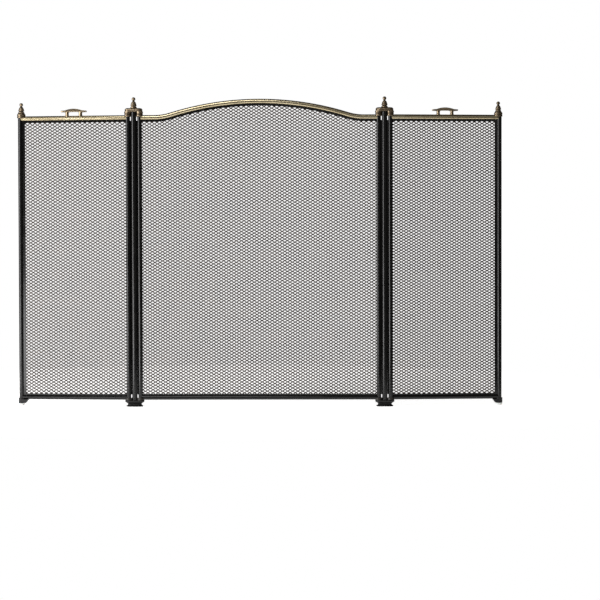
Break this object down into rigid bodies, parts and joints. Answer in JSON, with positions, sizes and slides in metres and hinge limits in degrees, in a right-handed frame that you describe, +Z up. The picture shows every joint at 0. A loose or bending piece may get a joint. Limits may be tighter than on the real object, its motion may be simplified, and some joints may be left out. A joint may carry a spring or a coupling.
{
  "type": "folding fireplace screen",
  "caption": "Folding fireplace screen: an arched mesh panel between two straight side panels on double-pivot hinges, with tube frames, cast feet, turned finials and carry handles.",
  "frame": {"origin": "on the floor under the middle of the screen: halfway along its length and halfway through its depth", "axes": "+X along the screen, +Z up, and the front that faces the room is towards -Y"},
  "size_m": [0.9518, 0.0376, 0.6038],
  "materials": {
    "black_frame": "satin to gloss black enamel on steel tube and castings",
    "mesh": "black-brown enamel on expanded steel sheet",
    "brass": "brushed antique brass",
    "bronze": "dark antique bronze, highlights rubbed brighter",
    "steel": "plain turned steel",
    "bush": "natural moulded nylon",
    "glide": "pale moulded plastic"
  },
  "bodies": {
    "centre_panel": {"centre_left_upright": "black_frame", "centre_right_upright": "black_frame", "centre_top_rail": "brass", "centre_bottom_rail": "black_frame", "centre_top_channel": "black_frame", "centre_bottom_channel": "black_frame", "centre_mesh": "mesh", "centre_bushes": "bush"},
    "left_hinge": {"left_hinge_post": "black_frame", "left_hinge_cap": "bronze", "left_hinge_foot": "black_frame", "left_hinge_finial": "bronze", "left_hinge_screw": "steel", "left_hinge_pins": "steel", "left_hinge_washers": "bush"},
    "right_hinge": {"right_hinge_post": "black_frame", "right_hinge_cap": "bronze", "right_hinge_foot": "black_frame", "right_hinge_finial": "bronze", "right_hinge_screw": "steel", "right_hinge_pins": "steel", "right_hinge_washers": "bush"},
    "left_panel": {"left_inner_upright": "black_frame", "left_outer_upright": "black_frame", "left_top_rail": "brass", "left_bottom_rail": "black_frame", "left_outer_channel": "black_frame", "left_top_channel": "black_frame", "left_bottom_channel": "black_frame", "left_mesh": "mesh", "left_bushes": "bush", "left_end_collar": "bronze", "left_end_finial": "bronze", "left_end_shoe": "black_frame", "left_end_glide": "glide", "left_handle_bar": "brass", "left_handle_posts": "brass"},
    "right_panel": {"right_inner_upright": "black_frame", "right_outer_upright": "black_frame", "right_top_rail": "brass", "right_bottom_rail": "black_frame", "right_outer_channel": "black_frame", "right_top_channel": "black_frame", "right_bottom_channel": "black_frame", "right_mesh": "mesh", "right_bushes": "bush", "right_end_collar": "bronze", "right_end_finial": "bronze", "right_end_shoe": "black_frame", "right_end_glide": "glide", "right_handle_bar": "brass", "right_handle_posts": "brass"}
  },
  "joints": [
    {"name": "left_link", "type": "hinge", "parent": "centre_panel", "child": "left_hinge", "pos_m": [-0.233, -0.008, 0], "axis": [0, 0, 1], "range_deg": [-90, 90]},
    {"name": "left_fold", "type": "hinge", "parent": "left_hinge", "child": "left_panel", "pos_m": [-0.256, -0.008, 0], "axis": [0, 0, 1], "range_deg": [-85, 95]},
    {"name": "right_link", "type": "hinge", "parent": "centre_panel", "child": "right_hinge", "pos_m": [0.233, -0.008, 0], "axis": [0, 0, 1], "range_deg": [-90, 90]},
    {"name": "right_fold", "type": "hinge", "parent": "right_hinge", "child": "right_panel", "pos_m": [0.256, -0.008, 0], "axis": [0, 0, 1], "range_deg": [-95, 85]}
  ]
}
